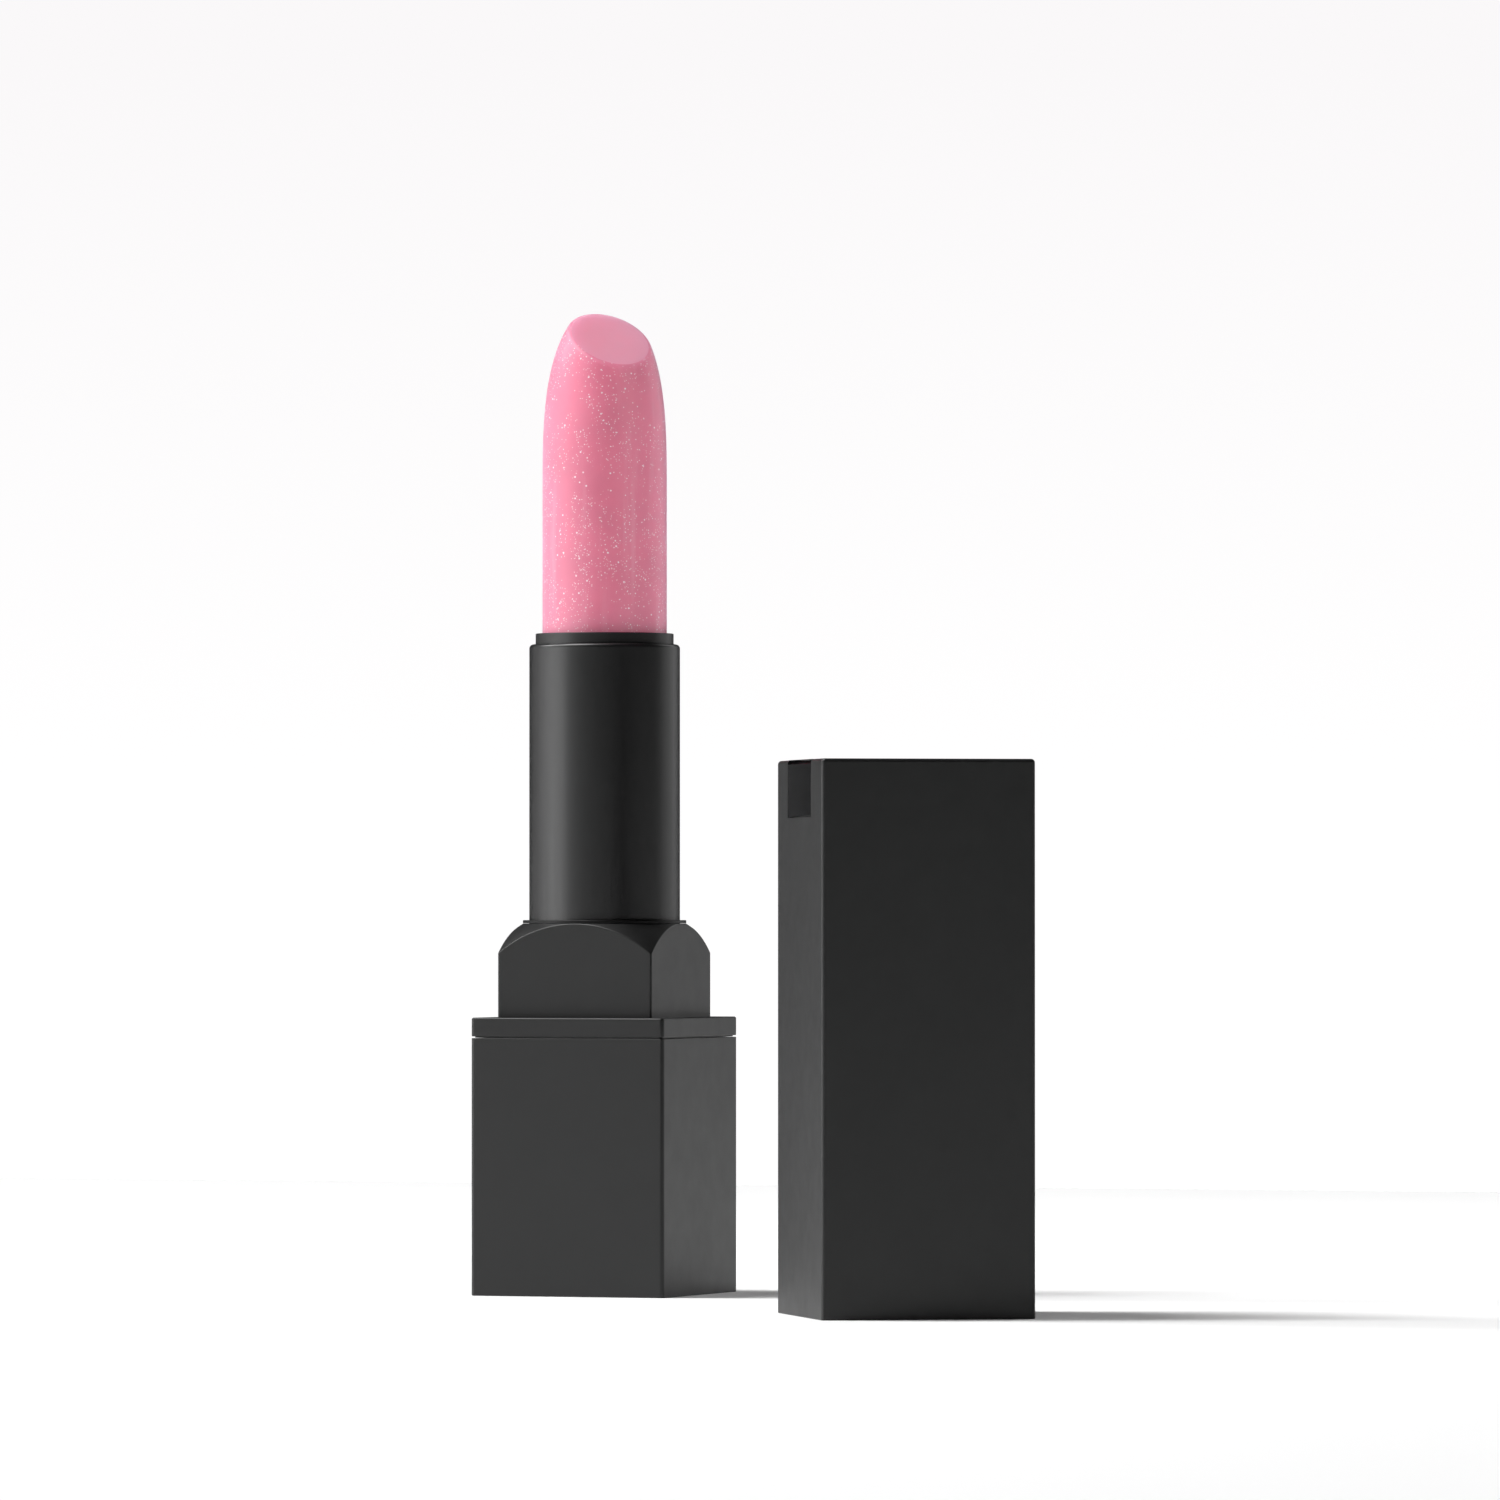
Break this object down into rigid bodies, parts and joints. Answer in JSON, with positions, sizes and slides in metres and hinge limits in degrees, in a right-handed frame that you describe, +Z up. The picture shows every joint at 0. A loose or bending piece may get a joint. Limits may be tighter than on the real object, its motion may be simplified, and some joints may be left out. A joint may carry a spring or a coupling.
{
  "type": "lipstick case",
  "caption": "Square twist-up lipstick case: a swivel base raises a slant-cut bullet through a round tube; a square cap with a flush inlay stands beside it.",
  "frame": {"origin": "middle of the base's underside, on the swivel axis, on the surface that the case and its cap stand on", "axes": "+Z up along the swivel axis, -Y out of the base's front face, +X out of its right face; the cap stands towards +X and -Y"},
  "size_m": [0.0714, 0.0691, 0.0956],
  "materials": {
    "soft_touch_black": "satin soft-touch coating",
    "tube_black": "satin black anodised look",
    "rim_black": "satin moulded",
    "inlay_black": "gloss",
    "inner_black": "moulded, unpainted",
    "natural_plastic": "natural moulded",
    "slug_steel": "rolled and sheared",
    "ring_rubber": "greased",
    "pink_wax": "satin wax with fine shimmer"
  },
  "bodies": {
    "base": {"base_shell": "soft_touch_black", "base_weight": "slug_steel", "base_insert": "inner_black", "guide_body": "rim_black", "torque_ring": "ring_rubber"},
    "upper": {"collar": "soft_touch_black", "neck": "soft_touch_black", "neck_ring": "tube_black", "outer_tube": "tube_black", "spiral_sleeve": "natural_plastic"},
    "carriage": {"bullet_cup": "natural_plastic", "lipstick_bullet": "pink_wax"},
    "cap": {"cap_shell": "soft_touch_black", "cap_liner": "inner_black", "cap_inlay": "inlay_black"}
  },
  "joints": [
    {"name": "swivel", "type": "hinge", "parent": "base", "child": "upper", "pos_m": [0, 0, 0.025], "axis": [0, 0, 1], "range_deg": [0, 630]},
    {"name": "cup_lift", "type": "slide", "parent": "base", "child": "carriage", "axis": [0, 0, 1], "range_m": [-0.0336, 0]},
    {"name": "cap_lift", "type": "slide", "parent": "base", "child": "cap", "axis": [0, 0, 1], "range_m": [0, 0.1]}
  ],
  "couplings": [
    {"joint": "cup_lift", "follows": "swivel", "m_per_rad": -0.0030557}
  ]
}
